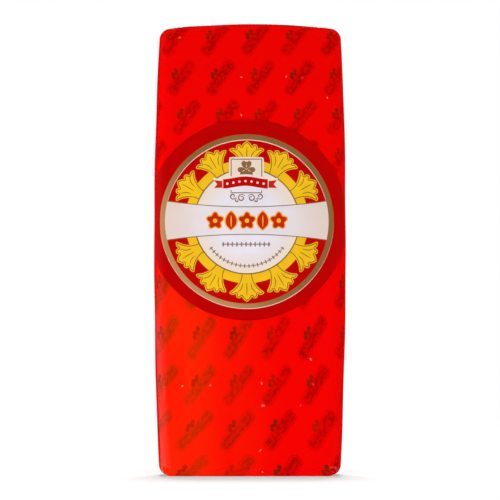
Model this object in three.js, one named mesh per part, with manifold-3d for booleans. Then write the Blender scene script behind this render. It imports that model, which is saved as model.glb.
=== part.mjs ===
// A whole block of semi-hard cheese in a heat-shrunk film bag with a round label, standing on one end.
//
// Units are millimetres and +Z is up. The origin is on the surface that the block stands on, under
// the middle of its base, and the label faces -Y.
//
// Every piece follows one form: a brick with rounded edges whose four long sides and top end bulge
// slightly. It is drawn first as a plain rounded brick and then bulged by pillow(), so surfaces that
// lie a fixed way apart in the plain brick stay that way apart in the finished one.
//
// Pieces:
//   cheese_block - the cheese, one solid
//   shrink_film  - the bag, shrunk tight on the cheese. Its mouth is the slit in the flat tail that
//                  is folded back on the top end. On a real bag a weld closes that slit.
//   round_label  - the label stuck on the front, wide enough to wrap round both front edges
import * as THREE from "three";
import { mergeVertices } from "three/addons/utils/BufferGeometryUtils.js";
import Module from "manifold-3d";

// The block, measured over the film.
const HEIGHT = 300;
const WIDTH = 126.6;
const DEPTH = 100;
const EDGE_RADIUS = 8.6;

// How the plain brick bulges. The first two are shares of a half width or half depth.
const END_TAPER = 0.056; // both ends are this much slimmer than the middle
const SIDE_CROWN = 0.03; // a long side falls away this much from its middle to its edges
const TOP_FALL_ALONG_X = 4.1; // how far the top end falls from its middle to its left and right edges
const TOP_FALL_ALONG_Y = 2.4; // and to its front and back edges

// The film and the gap that keeps it clear of what it touches.
const FILM = 0.4;
const GAP = 0.3;

// The bag's welded tail, folded back flat on the top end.
const TAIL_WIDTH = 96;
const TAIL_LENGTH = 12;
const TAIL_Y = 10; // where the tail leaves the top end
const TAIL_SINK = 0.2; // how far its underside is set into the film, so that the two are one piece
const TAIL_SIDE_WELD = 3; // where the two plies are joined at each side of the mouth
const PLY = 0.35;

// The label.
const LABEL_RADIUS = 66.7;
const LABEL_THICKNESS = 0.4;
const LABEL_X = -1.8;
const LABEL_Z = 169;
const LABEL_FLAT_RADIUS = 52; // inside this the label lies on the flat part of the front

// How finely the forms are drawn.
const EDGE_STEPS = 3; // from the middle of a face's rounding to the middle of the edge
const FACE_STEPS = { x: 6, y: 4, z: 8 };
const LABEL_SIDES = 72;
const LABEL_FLAT_RINGS = 3;
const LABEL_EDGE_RINGS = 6;

const wasm = await Module();
wasm.setup();

const halfWidth = WIDTH / 2;
const halfDepth = DEPTH / 2;
const halfHeight = HEIGHT / 2;

// Bulges a point of the plain brick, in place.
function pillow(point) {
  const x = point.x / halfWidth;
  const y = point.y / halfDepth;
  const z = point.z / halfHeight - 1;
  const top = Math.max(0, z) ** 2;
  point.x *= 1 - END_TAPER * z ** 2 - SIDE_CROWN * y ** 2;
  point.y *= 1 - END_TAPER * z ** 2 - SIDE_CROWN * x ** 2;
  point.z -= top * (TOP_FALL_ALONG_X * x ** 2 + TOP_FALL_ALONG_Y * y ** 2);
  return point;
}

// Moves every vertex of a geometry to where place() puts it.
function reshape(geometry, place) {
  const position = geometry.getAttribute("position");
  const point = new THREE.Vector3();
  for (let i = 0; i < position.count; i++) {
    place(point.fromBufferAttribute(position, i));
    position.setXYZ(i, point.x, point.y, point.z);
  }
  return geometry;
}

// Where the grid lines of a rounded box lie along one axis: evenly over the flat part of a face, and
// at even angles round its edges.
function gridLines(half, faceSteps) {
  const flat = half - EDGE_RADIUS;
  const face = Array.from({ length: faceSteps + 1 }, (_, i) => flat * ((2 * i) / faceSteps - 1));
  const edge = Array.from(
    { length: EDGE_STEPS },
    (_, i) => flat + EDGE_RADIUS * Math.tan(((i + 1) / EDGE_STEPS) * (Math.PI / 4)),
  );
  return [...edge.map((v) => -v).reverse(), ...face, ...edge];
}

// The block's form with its surface moved in by inset.
function blockForm(inset) {
  const half = new THREE.Vector3(halfWidth, halfDepth, halfHeight);
  const flat = half.clone().subScalar(EDGE_RADIUS);
  const lines = {
    x: gridLines(half.x, FACE_STEPS.x),
    y: gridLines(half.y, FACE_STEPS.y),
    z: gridLines(half.z, FACE_STEPS.z),
  };
  const steps = { x: lines.x.length - 1, y: lines.y.length - 1, z: lines.z.length - 1 };
  const cube = new THREE.BoxGeometry(2, 2, 2, steps.x, steps.y, steps.z);
  const nearest = new THREE.Vector3();
  return reshape(cube, (point) => {
    for (const axis of ["x", "y", "z"]) {
      point[axis] = lines[axis][Math.round(((point[axis] + 1) / 2) * steps[axis])];
    }
    nearest.copy(point).clamp(flat.clone().negate(), flat);
    point.sub(nearest).setLength(EDGE_RADIUS - inset).add(nearest);
    point.z += halfHeight;
    pillow(point);
  });
}

// A box in the plain brick's space, given by its lowest and highest corners, bulged with the brick.
function bulgedBox(low, high) {
  const size = new THREE.Vector3().subVectors(high, low);
  const middle = new THREE.Vector3().addVectors(low, high).divideScalar(2);
  const box = new THREE.BoxGeometry(size.x, size.y, size.z, 2 * FACE_STEPS.x, 2, 1);
  return reshape(box.translate(middle.x, middle.y, middle.z), pillow);
}

// A closed geometry as a manifold-3d solid.
function toSolid(geometry) {
  const bare = geometry.clone();
  bare.deleteAttribute("normal");
  bare.deleteAttribute("uv");
  const merged = mergeVertices(bare);
  return new wasm.Manifold(
    new wasm.Mesh({
      numProp: 3,
      vertProperties: merged.getAttribute("position").array,
      triVerts: new Uint32Array(merged.index.array),
    }),
  );
}

// A manifold-3d solid as a geometry.
function toGeometry(solid) {
  const { vertProperties, triVerts } = solid.getMesh();
  const geometry = new THREE.BufferGeometry();
  geometry.setAttribute("position", new THREE.BufferAttribute(vertProperties, 3));
  geometry.setIndex(new THREE.BufferAttribute(triVerts, 1));
  geometry.computeVertexNormals();
  return geometry;
}

// The bag: the outer form and its tail, less the space that the cheese fills and the mouth between
// the tail's two plies, which opens at the tail's free edge.
function filmGeometry() {
  const half = TAIL_WIDTH / 2;
  const mouthHalf = half - TAIL_SIDE_WELD;
  const top = HEIGHT + 2 * PLY + GAP;
  const lowerPly = HEIGHT + PLY / 2;
  const mouthTop = top - PLY;
  const freeEdge = TAIL_Y + TAIL_LENGTH;
  const tail = bulgedBox(
    new THREE.Vector3(-half, TAIL_Y - 1, HEIGHT - TAIL_SINK),
    new THREE.Vector3(half, freeEdge, top),
  );
  const mouth = bulgedBox(
    new THREE.Vector3(-mouthHalf, TAIL_Y, lowerPly),
    new THREE.Vector3(mouthHalf, freeEdge + 1, mouthTop),
  );
  const throat = bulgedBox(
    new THREE.Vector3(-mouthHalf, TAIL_Y, HEIGHT - 3 * FILM),
    new THREE.Vector3(mouthHalf, TAIL_Y + GAP, mouthTop),
  );
  return toGeometry(
    toSolid(blockForm(0))
      .add(toSolid(tail))
      .subtract(toSolid(blockForm(FILM)))
      .subtract(toSolid(mouth))
      .subtract(toSolid(throat)),
  );
}

// A point of the plain brick's wall, a distance along the wall from the middle of the front and a
// height off its surface, at height z.
function onWall(along, off, z) {
  const flat = halfWidth - EDGE_RADIUS;
  const side = Math.sign(along);
  const past = Math.abs(along) - flat;
  const quarter = (EDGE_RADIUS * Math.PI) / 2;
  const turn = THREE.MathUtils.clamp(past, 0, quarter) / EDGE_RADIUS;
  const reach = EDGE_RADIUS + off;
  return new THREE.Vector3(
    side * (Math.min(Math.abs(along), flat) + reach * Math.sin(turn)),
    -(halfDepth - EDGE_RADIUS) - reach * Math.cos(turn) + Math.max(0, past - quarter),
    z,
  );
}

// The label: a thin disc turned on a lathe and then laid on the front, bending round its edges.
function labelGeometry() {
  const flat = Array.from({ length: LABEL_FLAT_RINGS }, (_, i) => (i / LABEL_FLAT_RINGS) * LABEL_FLAT_RADIUS);
  const edge = Array.from({ length: LABEL_EDGE_RINGS + 1 }, (_, i) =>
    THREE.MathUtils.lerp(LABEL_FLAT_RADIUS, LABEL_RADIUS, i / LABEL_EDGE_RINGS),
  );
  const rings = [...flat, ...edge];
  const back = rings.map((r) => new THREE.Vector2(r, 0));
  const face = rings.map((r) => new THREE.Vector2(r, LABEL_THICKNESS)).reverse();
  const disc = new THREE.LatheGeometry([...back, ...face], LABEL_SIDES);
  return reshape(disc, (point) => {
    point.copy(pillow(onWall(LABEL_X + point.x, GAP + point.y, LABEL_Z - point.z)));
  });
}

// A named mesh with its own material.
function piece(name, geometry, color, roughness) {
  const material = new THREE.MeshStandardMaterial({ color, roughness, metalness: 0 });
  const mesh = new THREE.Mesh(geometry, material);
  mesh.name = name;
  return mesh;
}

const cheese = new THREE.Group();
cheese.add(
  piece("cheese_block", blockForm(FILM + GAP), 0xf2d98a, 0.6),
  piece("shrink_film", filmGeometry(), 0xe60505, 0.25),
  piece("round_label", labelGeometry(), 0xb80808, 0.4),
);
// The label stands proud of the front, so the whole is moved back to keep the origin mid-depth.
cheese.position.y = (GAP + LABEL_THICKNESS) / 2;

export default cheese;
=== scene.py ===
"""A whole block of semi-hard cheese in a printed shrink bag, with a round label, standing on one end.

Everything is in metres in the row frame: +Z up along the block, -Y out of the labelled front, +X to
the right. Every piece follows one form, BlockForm, a brick with rounded edges that bulges slightly.
"""

from __future__ import annotations

import logging
import math
from dataclasses import dataclass
from enum import Enum, IntEnum

import bpy
import numpy as np
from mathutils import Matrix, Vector
from mathutils.geometry import delaunay_2d_cdt


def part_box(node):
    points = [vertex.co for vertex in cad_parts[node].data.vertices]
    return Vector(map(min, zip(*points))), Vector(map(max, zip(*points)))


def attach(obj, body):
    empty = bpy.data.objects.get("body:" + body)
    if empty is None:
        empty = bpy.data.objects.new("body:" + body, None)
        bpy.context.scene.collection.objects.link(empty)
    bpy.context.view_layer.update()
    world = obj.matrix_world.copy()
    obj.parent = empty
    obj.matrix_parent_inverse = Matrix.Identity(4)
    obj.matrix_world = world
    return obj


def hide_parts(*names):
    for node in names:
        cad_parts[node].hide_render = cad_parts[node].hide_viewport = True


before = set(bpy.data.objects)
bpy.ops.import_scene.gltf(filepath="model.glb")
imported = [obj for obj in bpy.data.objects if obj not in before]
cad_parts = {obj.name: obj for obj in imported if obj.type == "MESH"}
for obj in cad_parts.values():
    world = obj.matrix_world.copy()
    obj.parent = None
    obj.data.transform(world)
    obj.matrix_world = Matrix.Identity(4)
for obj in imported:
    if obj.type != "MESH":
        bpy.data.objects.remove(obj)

MM = 0.001
log = logging.getLogger("wrapped_cheese")

Points = np.ndarray


# ---------------------------------------------------------------------------------------------------
# Colours and nodes


def srgb(code: str) -> tuple[float, float, float, float]:
    """Turns an sRGB hex code into a linear colour.

    Args:
        code: The hex code, such as "#E80303".

    Returns:
        Red, green and blue from 0 to 1, and full alpha.
    """
    levels = [int(code[i : i + 2], 16) / 255 for i in (1, 3, 5)]
    linear = [v / 12.92 if v <= 0.04045 else ((v + 0.055) / 1.055) ** 2.4 for v in levels]
    return (*linear, 1.0)


def per_metre(feature_mm: float) -> float:
    """The noise scale whose features are this many millimetres across."""
    return 1.0 / (feature_mm * MM)


class NodeSheet:
    """A node tree that is being written."""

    def __init__(self, tree: bpy.types.NodeTree) -> None:
        """Empties the tree, ready for new nodes."""
        tree.nodes.clear()
        self.tree = tree

    def add(self, kind: str, *inputs, named: dict | None = None, **settings) -> bpy.types.NodeSocket:
        """Adds one node with its settings and links.

        Args:
            kind: The node's type without its ShaderNode prefix.
            inputs: What each enabled input gets, in order: a socket, a value, or None to leave it.
            named: The same for inputs by name.
            settings: The node's own properties.

        Returns:
            The node's first enabled output, or its first input if it has no output.
        """
        node = self.tree.nodes.new("ShaderNode" + kind)
        for name, value in settings.items():
            setattr(node, name, value)
        open_inputs = [socket for socket in node.inputs if socket.enabled]
        wanted = list(zip(open_inputs, inputs))
        wanted += [(node.inputs[name], source) for name, source in (named or {}).items()]
        for socket, source in wanted:
            if isinstance(source, bpy.types.NodeSocket):
                self.tree.links.new(source, socket)
            elif source is not None:
                socket.default_value = source
        outputs = [socket for socket in node.outputs if socket.enabled]
        return outputs[0] if outputs else node.inputs[0]


def new_material(name: str) -> tuple[bpy.types.Material, NodeSheet]:
    """Makes an empty node material.

    Args:
        name: The material's name.

    Returns:
        The material, and the sheet on which its nodes are written.
    """
    material = bpy.data.materials.new(name)
    material.use_nodes = True
    return material, NodeSheet(material.node_tree)


# ---------------------------------------------------------------------------------------------------
# Form


class Panel(IntEnum):
    """The six faces of the block, as a bag wraps them."""

    FRONT = 0
    RIGHT = 1
    BACK = 2
    LEFT = 3
    TOP = 4
    BASE = 5


@dataclass(frozen=True)
class BlockForm:
    """The brick with rounded edges, bulged all over, that every piece follows.

    A plain point is a point of the brick before it bulges, measured from the middle of its base.
    """

    width: float
    depth: float
    height: float
    middle_y: float
    skin: float
    edge_radius: float = 6.9 * MM
    end_taper: float = 0.056
    side_crown: float = 0.03
    top_fall_x: float = 3.2 * MM
    top_fall_y: float = 2.4 * MM

    @classmethod
    def from_frame(cls, skin: float, slack: float) -> BlockForm:
        """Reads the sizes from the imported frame.

        Args:
            skin: How far the cheese lies inside the film's outer surface.
            slack: How far the film stands off the frame's sides.

        Returns:
            The form.
        """
        low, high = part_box("shrink_film")
        width = high.x - low.x + 2 * slack
        cheese_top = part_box("cheese_block")[1].z
        return cls(width, high.y - low.y, cheese_top + skin, (low.y + high.y) / 2, skin)

    @property
    def half(self) -> np.ndarray:
        """Half of the brick's width, depth and height."""
        return np.array([self.width, self.depth, self.height]) / 2

    @property
    def flat(self) -> np.ndarray:
        """Half of each face's flat part along the three axes."""
        return self.half - self.edge_radius

    def bulge(self, plain: Points) -> Points:
        """Bulges plain points and moves them to their place in the row frame.

        Args:
            plain: The plain points.

        Returns:
            The bulged points.
        """
        x = plain[:, 0] / (self.width / 2)
        y = plain[:, 1] / (self.depth / 2)
        z = plain[:, 2] / (self.height / 2) - 1
        waist = self.end_taper * z**2
        fall = self.fall(*plain.T)
        moved = plain.copy()
        moved[:, 0] *= 1 - waist - self.side_crown * y**2
        moved[:, 1] *= 1 - waist - self.side_crown * x**2
        moved[:, 1] += self.middle_y
        moved[:, 2] -= fall
        return moved

    def girth_share(self, z: np.ndarray) -> np.ndarray:
        """How far the bulged wall is drawn in at this plain height, as a share of the brick's wall."""
        return 1 - self.side_crown - self.end_taper * (z / (self.height / 2) - 1) ** 2

    def fall(self, x: np.ndarray, y: np.ndarray, z: np.ndarray) -> np.ndarray:
        """How far the block's rounded top has sunk.

        Args:
            x: Plain distance to the right of the middle.
            y: Plain distance behind the middle.
            z: Plain height over the base.

        Returns:
            How much lower the bulged point lies than the plain one.
        """
        shares = self.top_fall_x * (x / (self.width / 2)) ** 2
        shares = shares + self.top_fall_y * (y / (self.depth / 2)) ** 2
        return np.maximum(z / (self.height / 2) - 1, 0) ** 2 * shares

    def wall_point(self, along: np.ndarray, off: np.ndarray, z: np.ndarray) -> Points:
        """Plain points by their distance along the wall from the middle of the front.

        Args:
            along: Distance along the wall, positive to the right.
            off: Height off the wall.
            z: Height over the base.

        Returns:
            The plain points.
        """
        flat_x, flat_y, _ = self.flat
        quarter = self.edge_radius * math.pi / 2
        past = np.abs(along) - flat_x
        turn = np.clip(past, 0, quarter) / self.edge_radius
        reach = self.edge_radius + off
        x = np.sign(along) * (np.minimum(np.abs(along), flat_x) + reach * np.sin(turn))
        y = -flat_y - reach * np.cos(turn) + np.maximum(0, past - quarter)
        return np.stack([x, y, z], axis=1)


@dataclass(frozen=True)
class BrickGrid:
    """A closed grid of quads over the plain brick."""

    plain: Points
    normal: Points
    quads: np.ndarray
    panel: np.ndarray

    @classmethod
    def over(cls, form: BlockForm, steps: tuple[int, int, int], edge_steps: int) -> BrickGrid:
        """Draws the grid, closer near the edges than in the middle of a face.

        Args:
            form: The block's form.
            steps: How many steps cross the flat part of a face along X, Y and Z.
            edge_steps: How many steps go from a face to the middle of its rounded edge.

        Returns:
            The grid.
        """
        crowding = 0.6
        lines = []
        for flat, count in zip(form.flat, steps):
            t = np.linspace(-1, 1, count + 1)
            face = flat * ((1 - crowding) * t + crowding * np.sin(t * math.pi / 2))
            angle = np.arange(1, edge_steps + 1) / edge_steps * math.pi / 4
            edge = flat + form.edge_radius * np.tan(angle)
            lines.append(np.concatenate([-edge[::-1], face, edge]))
        counts = [len(line) for line in lines]
        faces = {
            Panel.FRONT: (1, 0, 0, 2), Panel.BACK: (1, 1, 2, 0), Panel.LEFT: (0, 0, 2, 1),
            Panel.RIGHT: (0, 1, 1, 2), Panel.BASE: (2, 0, 1, 0), Panel.TOP: (2, 1, 0, 1),
        }
        corners, panels = [], []
        for panel, (axis, end, first, second) in faces.items():
            a, b = np.meshgrid(np.arange(counts[first] - 1), np.arange(counts[second] - 1), indexing="ij")
            for da, db in ((0, 0), (1, 0), (1, 1), (0, 1)):
                key = np.zeros((a.size, 3), int)
                key[:, axis] = end * (counts[axis] - 1)
                key[:, first] = a.ravel() + da
                key[:, second] = b.ravel() + db
                corners.append(key)
            panels.append(np.full(a.size, int(panel)))
        stacked = [np.stack(corners[4 * i : 4 * i + 4], axis=1) for i in range(len(faces))]
        keys = np.concatenate(stacked).reshape(-1, 3)
        unique, index = np.unique(keys, axis=0, return_inverse=True)
        cube = np.stack([lines[i][unique[:, i]] for i in range(3)], axis=1)
        nearest = np.clip(cube, -form.flat, form.flat)
        normal = cube - nearest
        normal /= np.linalg.norm(normal, axis=1, keepdims=True)
        plain = nearest + normal * form.edge_radius
        plain[:, 2] += form.height / 2
        return cls(plain, normal, index.reshape(-1, 4), np.concatenate(panels))


def ridge(turns: np.ndarray, sharpness: float) -> np.ndarray:
    """A row of ridges, one a turn, from 0 to 1 high and narrower as sharpness grows."""
    return (0.5 + 0.5 * np.cos(2 * math.pi * turns)) ** sharpness


def fade(value: np.ndarray, start: float, end: float) -> np.ndarray:
    """Goes smoothly from 0 at start to 1 at end."""
    t = np.clip((value - start) / (end - start), 0, 1)
    return t * t * (3 - 2 * t)


def to_segment(points: Points, start: tuple[float, float], end: tuple[float, float]) -> np.ndarray:
    """Distance of each XY point from a straight line between two points.

    Args:
        points: The XY points.
        start: One end of the line.
        end: Its other end.

    Returns:
        The distances.
    """
    first = np.array(start)
    run = np.array(end) - first
    share = np.clip(((points - first) @ run) / (run @ run), 0, 1)
    return np.linalg.norm(points - first - share[:, None] * run, axis=1)


@dataclass(frozen=True)
class FilmRelief:
    """How far the shrunk film stands off the smooth form: slow waves, pleats and fold lines."""

    form: BlockForm
    tail_half: float
    tail_y: float
    wave_count: int = 7
    wave_height: float = 0.09 * MM
    edge_wrinkle: float = 0.42 * MM
    edge_wrinkle_pitch: float = 3.4 * MM
    corner_pleat: float = 0.34 * MM
    fold_height: float = 0.32 * MM

    def waves(self, plain: Points) -> np.ndarray:
        """Slow swells, where the film lies over the cheese's uneven skin.

        Args:
            plain: Plain points on the film.

        Returns:
            The film's height at each.
        """
        total = np.zeros(len(plain))
        for k in range(self.wave_count):
            length = (36 + 13 * k) * MM
            heading = np.array([math.cos(2.4 * k), math.sin(1.7 * k), math.cos(1.1 * k + 1)])
            total += (0.5 + 0.1 * k) * np.sin(2 * math.pi * (plain @ heading) / length + 1.9 * k)
        return self.wave_height * total

    def edge_wrinkles(self, plain: Points) -> np.ndarray:
        """Upright wrinkles along the four long edges, deepest low down on the front left one.

        Args:
            plain: Plain points on the film.

        Returns:
            The wrinkles' height at each.
        """
        flat_x, flat_y, _ = self.form.flat
        reach = 12 * MM
        x, y, z = plain.T
        total = np.zeros(len(plain))
        for side, face, share, low, high in (
            (-1, -1, 1.0, 0.012, 0.135), (1, -1, 0.3, 0.02, 0.09),
            (-1, 1, 0.5, 0.03, 0.25), (1, 1, 0.6, 0.05, 0.28),
        ):
            across = side * x - flat_x - (face * y - flat_y)
            near = np.exp(-((across / (6.5 * MM)) ** 2))
            near = near * (side * x > flat_x - reach) * (face * y > flat_y - reach)
            drift = 3.2 * MM * np.sin(2 * math.pi * z / 0.071 + side)
            drift += 1.5 * MM * np.sin(2 * math.pi * z / 0.026)
            rows = ridge((across + drift) / (1.6 * self.edge_wrinkle_pitch), 3.0)
            beat = 0.55 + 0.45 * np.sin(2 * math.pi * z / 0.038 + 2 * face)
            window = fade(z, low, low + 0.02) * (1 - fade(z, high - 0.03, high))
            total += share * near * rows * beat * window
        return self.edge_wrinkle * total

    def corner_pleats(self, plain: Points) -> np.ndarray:
        """Short pleats that fan out of each of the eight corners.

        Args:
            plain: Plain points on the film.

        Returns:
            The pleats' height at each.
        """
        flat_x, flat_y, _ = self.form.flat
        x, y, z = plain.T
        out_x, out_y = np.abs(x) - flat_x, np.abs(y) - flat_y
        reach = np.hypot(out_x, out_y)
        turn = np.arctan2(out_y, out_x) / (2 * math.pi)
        upper = z > self.form.height / 2
        below_end = np.where(upper, self.form.height - z, z)
        near = fade(reach, 1.5 * MM, 7 * MM) * (1 - fade(reach, 9 * MM, 24 * MM))
        near *= 1 - fade(below_end, 4 * MM, 19 * MM)
        wander = 0.02 * np.sin(reach / (2.3 * MM)) + 0.05 * np.sign(x) + 0.03 * np.sign(y)
        return self.corner_pleat * near * ridge(11 * (turn + wander), 2.2)

    def end_folds(self, plain: Points, normal: Points) -> np.ndarray:
        """Fold lines of the two gussets, from the corners of each end to the ends of the tail.

        Args:
            plain: Plain points on the film.
            normal: Their outward normals.

        Returns:
            The folds' height at each.
        """
        flat_x, flat_y, _ = self.form.flat
        xy = plain[:, :2]
        total = np.zeros(len(plain))
        for side in (-1, 1):
            tip = (side * self.tail_half, self.tail_y)
            for face in (-1, 1):
                off = to_segment(xy, (side * (flat_x + 4 * MM), face * (flat_y + 4 * MM)), tip)
                total = np.maximum(total, np.exp(-((off / (0.9 * MM)) ** 2)))
            span = np.hypot(xy[:, 0] - tip[0], xy[:, 1] - tip[1])
            turn = np.arctan2(xy[:, 1] - tip[1], side * (xy[:, 0] - tip[0])) / (2 * math.pi)
            rays = ridge(14 * turn + 0.2 * np.sin(span / (3 * MM)), 2.0)
            total += 0.5 * rays * fade(span, 1 * MM, 4 * MM) * (1 - fade(span, 7 * MM, 19 * MM))
        return self.fold_height * total * fade(np.abs(normal[:, 2]), 0.75, 0.95)

    def height(self, plain: Points, normal: Points) -> np.ndarray:
        """How far the film stands off the form in all. Its pleats are pressed in on the base.

        Args:
            plain: Plain points on the film.
            normal: Their outward normals.

        Returns:
            The height at each.
        """
        waves = self.waves(plain)
        pleats = self.edge_wrinkles(plain) + self.corner_pleats(plain) + self.end_folds(plain, normal)
        total = waves + pleats
        underside = fade(-normal[:, 2], 0.2, 0.9)
        return total * (1 - underside) + underside * -np.abs(0.4 * pleats)


# ---------------------------------------------------------------------------------------------------
# Print on the film


@dataclass(frozen=True)
class PrintLattice:
    """Where the film's repeat print lies after the bag has shrunk on the block.

    The print is a lattice of columns and rows. Shrinking drew it together under the label and let it
    fan out at the base, and each row sits a little to one side of the row under it.
    """

    form: BlockForm
    repeats_round: int = 17
    waist_z: float = 95 * MM
    waist_pitch: float = 24.5 * MM
    widening_above: float = 5.7e-5 / MM
    widening_below: float = 8.7e-4 / MM
    column_x: float = -7.4 * MM
    column_lean: float = 3.2e-4 / MM
    column_z: float = 70 * MM
    upper_pitch: float = 26.35 * MM
    lower_pitch: float = 31.7 * MM
    change_z: float = 158.6 * MM
    row_at_change: int = 5

    @property
    def round_length(self) -> float:
        """Length of the wall once round the block."""
        return 4 * (self.form.flat[0] + self.form.flat[1]) + 2 * math.pi * self.form.edge_radius

    def place(self, along: np.ndarray, up: np.ndarray, turn: np.ndarray) -> np.ndarray:
        """Lattice coordinates, which are whole numbers in the middle of a motif.

        Args:
            along: Distance along the film from the middle of the front.
            up: Distance up the film from the base, going on over the ends.
            turn: Share of a whole turn round the bag from the middle of the front.

        Returns:
            Column and row of each point, as the last axis.
        """
        z = np.clip(up, 0, self.form.height)
        above = z - self.waist_z
        widening = np.where(above > 0, self.widening_above, self.widening_below)
        column = self.column_x - self.column_lean * (z - self.column_z) ** 2
        drawn = (along - column) / (self.waist_pitch + widening * above**2)
        regular = self.repeats_round * turn
        share = fade(np.abs(along), 0.068, 0.165)
        below = self.change_z - up
        dip = 0.12 * np.sin(math.pi * np.clip(below / self.change_z, 0, 1)) ** 2
        row = self.row_at_change + below / np.where(below > 0, self.lower_pitch, self.upper_pitch) - dip
        return np.stack([drawn * (1 - share) + regular * share, -row], axis=-1)


@dataclass(frozen=True)
class PrintedShrinkFilm:
    """Multilayer polyethylene barrier film, pigmented red, printed and heat-shrunk.

    Blown film is smooth, so it is glossy; shrinking leaves fine ripples that break up its highlights.
    """

    pigment: str = "#F50301"
    # The next colour is painted light: the orange of the film low down on the left, where light falls.
    pigment_lit: str = "#FF2A04"
    bar_ink: str = "#CA0300"
    line_ink: str = "#CC0200"
    blot_ink: str = "#A80300"
    sprig_ink: str = "#701A00"
    # The next two inks are painted light too: paler inks for the lower left that is painted lit.
    ink_lit: str = "#AE3A00"
    sprig_lit: str = "#762000"
    # The next colour is painted glints: pale specks on the film.
    glint_speck: str = "#FF8A78"
    motif_pitch_mm: float = 26.3
    slant_degrees: float = 50.0
    bar_half_mm: tuple[float, float] = (13.2, 2.9)
    bar_round_mm: float = 2.2
    line_gap_mm: float = 0.8
    blot_mm: tuple[float, float, float] = (1.5, 1.0, 1.0)
    leaf_mm: float = 1.35
    sprig_off_mm: float = 4.9
    ripple_mm: float = 1.6
    swell_mm: float = 11.0
    ripple_height: float = 0.012 * MM
    swell_over_ripple: float = 6.0
    roughness: tuple[float, float] = (0.1, 0.17)
    ior: float = 1.5

    def soft(
        self, sheet: NodeSheet, distance: bpy.types.NodeSocket, edge: float, blur: float = 0.4
    ) -> bpy.types.NodeSocket:
        """A mask that is 1 where a distance in mm is under edge, with a blurred border."""
        return sheet.add(
            "MapRange", distance, edge + blur, edge - blur, 0.0, 1.0, interpolation_type="SMOOTHSTEP"
        )

    def motif(self, sheet: NodeSheet) -> dict[str, bpy.types.NodeSocket]:
        """Draws one motif in each cell of the lattice.

        Args:
            sheet: The material's sheet.

        Returns:
            Masks from 0 to 1 (bar, line, blots and sprig) and chance, each cell's own random value.
        """
        lattice = sheet.add("UVMap", uv_map="print")
        corner = sheet.add("VectorMath", lattice, (0.5, 0.5, 0.0), operation="ADD")
        cell = sheet.add("VectorMath", corner, operation="FLOOR")
        share = sheet.add("VectorMath", corner, operation="FRACTION")
        middle = sheet.add("VectorMath", share, (0.5, 0.5, 0.0), operation="SUBTRACT")
        place = sheet.add("VectorMath", middle, (self.motif_pitch_mm,) * 3, operation="MULTIPLY")
        wobble = sheet.add("TexNoise", place, named={"Scale": 0.9, "Detail": 2.0}, noise_dimensions="3D")
        wobble = wobble.node.outputs["Color"]
        shake = sheet.add("VectorMath", wobble, (0.5, 0.5, 0.5), operation="SUBTRACT")
        shaken = sheet.add("VectorMath", shake, (1.2, 1.2, 0.0), place, operation="MULTIPLY_ADD")
        slant = math.radians(-self.slant_degrees)
        turned = sheet.add(
            "VectorRotate", shaken, (0.0, 0.0, 0.0), rotation_type="Z_AXIS", named={"Angle": slant}
        )
        turned = sheet.add("VectorMath", turned, (1.0, 1.0, 0.0), operation="MULTIPLY")

        # The bar is a rounded box, with a line that runs round it a little way off.
        core = tuple(h - self.bar_round_mm for h in self.bar_half_mm)
        folded = sheet.add("VectorMath", turned, operation="ABSOLUTE")
        past = sheet.add("VectorMath", folded, (*core, 0.0), operation="SUBTRACT")
        outside = sheet.add("VectorMath", past, (0.0, 0.0, 0.0), operation="MAXIMUM")
        from_core = sheet.add("VectorMath", outside, operation="LENGTH")
        bar = self.soft(sheet, from_core, self.bar_round_mm)
        from_line = sheet.add("Math", from_core, self.bar_round_mm + self.line_gap_mm, operation="SUBTRACT")
        line = self.soft(sheet, sheet.add("Math", from_line, operation="ABSOLUTE"), 0.3, 0.3)

        # Blots along the bar, where the ink stands thicker.
        blot = sheet.add("VectorMath", cell, (17.0, 13.0, 0.0), turned, operation="MULTIPLY_ADD")
        blot = sheet.add("VectorMath", blot, tuple(1 / size for size in self.blot_mm), operation="MULTIPLY")
        blot = sheet.add("TexNoise", blot, named={"Scale": 0.5, "Detail": 1.0}, noise_dimensions="2D")
        blot = sheet.add("MapRange", blot, 0.4, 0.6, 0.0, 1.0, interpolation_type="SMOOTHSTEP")
        blots = sheet.add("Math", blot, bar, operation="MULTIPLY")

        # A sprig of four small leaves that runs beside the middle of the bar.
        nearest: bpy.types.NodeSocket | float = 9.0
        for along, aside in ((-2.9, -0.7), (-1.2, 0.6), (0.4, -0.7), (2.1, 0.4)):
            leaf = (along, self.sprig_off_mm + aside, 0.0)
            away = sheet.add("VectorMath", turned, leaf, operation="DISTANCE")
            nearest = sheet.add("Math", away, nearest, operation="MINIMUM")
        sprig = self.soft(sheet, nearest, self.leaf_mm)
        chance = sheet.add("TexWhiteNoise", cell, noise_dimensions="2D")
        return {"bar": bar, "line": line, "blots": blots, "sprig": sprig, "chance": chance}

    def ground(
        self, sheet: NodeSheet, where: bpy.types.NodeSocket
    ) -> tuple[bpy.types.NodeSocket, bpy.types.NodeSocket]:
        """The pigmented film's colour, with painted light and painted glints.

        Low down on the left, in upright streaks, the film is painted more orange: painted light from the
        low left. A few pale specks on it are painted glints.

        Args:
            sheet: The material's sheet.
            where: The point in the row frame.

        Returns:
            The colour, and the strength of the painted light low down on the left, from 0 to 1.
        """
        spot = sheet.add("SeparateXYZ", where)
        # Painted light: the lower left is painted more orange, in upright streaks, where light from the low
        # left falls.
        leftness = sheet.add("MapRange", spot, 0.026, -0.06, 0.0, 1.0, interpolation_type="SMOOTHSTEP")
        lowness = sheet.add(
            "MapRange", spot.node.outputs["Z"], 0.235, 0.05, 0.0, 1.0, interpolation_type="SMOOTHSTEP"
        )
        drawn = sheet.add("VectorMath", where, (1.0, 1.0, 0.3), operation="MULTIPLY")
        streak = sheet.add(
            "TexNoise", drawn, named={"Scale": per_metre(24), "Detail": 3.0, "Roughness": 0.45}
        )
        streak = sheet.add("MapRange", streak, 0.32, 0.68, 0.35, 1.0)
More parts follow.
